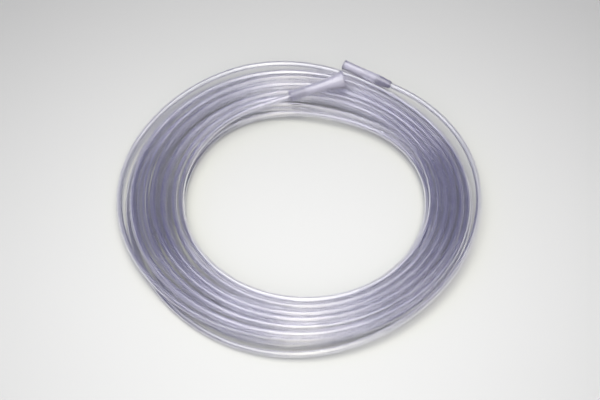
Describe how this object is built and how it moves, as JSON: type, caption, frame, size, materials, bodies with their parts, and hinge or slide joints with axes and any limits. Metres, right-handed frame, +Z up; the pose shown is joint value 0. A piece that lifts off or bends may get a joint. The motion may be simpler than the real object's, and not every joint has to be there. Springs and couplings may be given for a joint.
{
  "type": "clear tubing coil",
  "caption": "Loose flat coil of clear, faintly violet flexible tubing that carries gas or liquid, with a flared funnel connector on its inner end and a slim push-on sleeve on its outer end.",
  "frame": {"origin": "on the surface that the coil lies on, under the middle of its footprint", "axes": "+Z up out of the flat coil; +Y away from the side that the picture is taken from, towards the two connectors; +X to the right as seen from that side"},
  "size_m": [0.3024, 0.2998, 0.0317],
  "materials": {
    "clear_tube": "smooth glossy clear soft plastic with a faint violet tint",
    "clear_fitting": "smooth glossy moulded soft plastic, clear with a violet tint a little stronger than the tube's"
  },
  "bodies": {
    "root": {"tube": "clear_tube", "funnel_connector": "clear_fitting", "sleeve_connector": "clear_fitting"}
  },
  "joints": []
}
